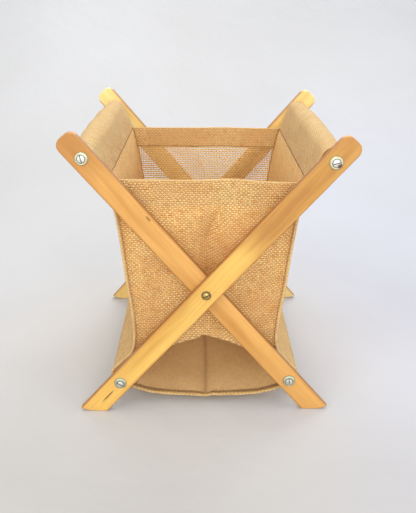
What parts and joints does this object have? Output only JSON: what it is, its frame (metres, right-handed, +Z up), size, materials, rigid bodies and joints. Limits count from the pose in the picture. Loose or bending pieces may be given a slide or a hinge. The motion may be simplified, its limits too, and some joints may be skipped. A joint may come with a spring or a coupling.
{
  "type": "folding burlap sling basket",
  "caption": "Folding X-frame basket: two crossed pairs of wooden slats on bolts carry four bars and an open-topped burlap bag.",
  "frame": {"origin": "on the floor, midway between the four feet", "axes": "+Z up; +Y from the front to the back along the bars; +X across the crossed slats"},
  "size_m": [0.304, 0.3194, 0.3254],
  "materials": {
    "slat_wood": "honey-coloured hardwood slat under clear satin lacquer",
    "bar_wood": "round hardwood bar, clear lacquer",
    "burlap": "natural golden-tan burlap, open plain weave",
    "zinc_steel": "zinc-plated steel, slightly dull",
    "brass": "aged brass"
  },
  "bodies": {
    "pivots": {"pivot_bolt_back": "brass", "pivot_bolt_front": "brass", "pivot_nut_back": "brass", "pivot_nut_front": "brass"},
    "frame_a": {"bottom_bar_left": "bar_wood", "bottom_wrap_left": "burlap", "cup_washer_bottom_left_back": "zinc_steel", "cup_washer_bottom_left_front": "zinc_steel", "cup_washer_top_right_back": "zinc_steel", "cup_washer_top_right_front": "zinc_steel", "screw_bottom_left_back": "zinc_steel", "screw_bottom_left_front": "zinc_steel", "screw_top_right_back": "zinc_steel", "screw_top_right_front": "zinc_steel", "slat_a_back": "slat_wood", "slat_a_front": "slat_wood", "top_bar_right": "bar_wood", "top_casing_right": "burlap"},
    "frame_b": {"bottom_bar_right": "bar_wood", "bottom_wrap_right": "burlap", "cup_washer_bottom_right_back": "zinc_steel", "cup_washer_bottom_right_front": "zinc_steel", "cup_washer_top_left_back": "zinc_steel", "cup_washer_top_left_front": "zinc_steel", "screw_bottom_right_back": "zinc_steel", "screw_bottom_right_front": "zinc_steel", "screw_top_left_back": "zinc_steel", "screw_top_left_front": "zinc_steel", "slat_b_back": "slat_wood", "slat_b_front": "slat_wood", "top_bar_left": "bar_wood", "top_casing_left": "burlap"},
    "bag": {"back_panel": "burlap", "bag_floor": "burlap", "front_panel": "burlap", "side_wall_left": "burlap", "side_wall_right": "burlap"},
    "sling": {"bottom_sling": "burlap"}
  },
  "joints": [
    {"name": "fold", "type": "hinge", "parent": "pivots", "child": "frame_a", "pos_m": [0, 0, 0.1515], "axis": [0, -1, 0], "range_deg": [0, 33.5]},
    {"name": "fold_b", "type": "hinge", "parent": "pivots", "child": "frame_b", "pos_m": [0, 0, 0.1515], "axis": [0, 1, 0], "range_deg": [0, 33.5]},
    {"name": "bag_lift", "type": "slide", "parent": "pivots", "child": "bag", "axis": [0, 0, 1], "range_m": [0, 0.046]},
    {"name": "sling_drop", "type": "slide", "parent": "pivots", "child": "sling", "axis": [0, 0, -1], "range_m": [0, 0.0385]}
  ],
  "couplings": [
    {"joint": "fold_b", "follows": "fold", "ratio": 1},
    {"joint": "bag_lift", "follows": "fold", "m_per_rad": 0.0784},
    {"joint": "sling_drop", "follows": "fold", "m_per_rad": 0.065}
  ]
}
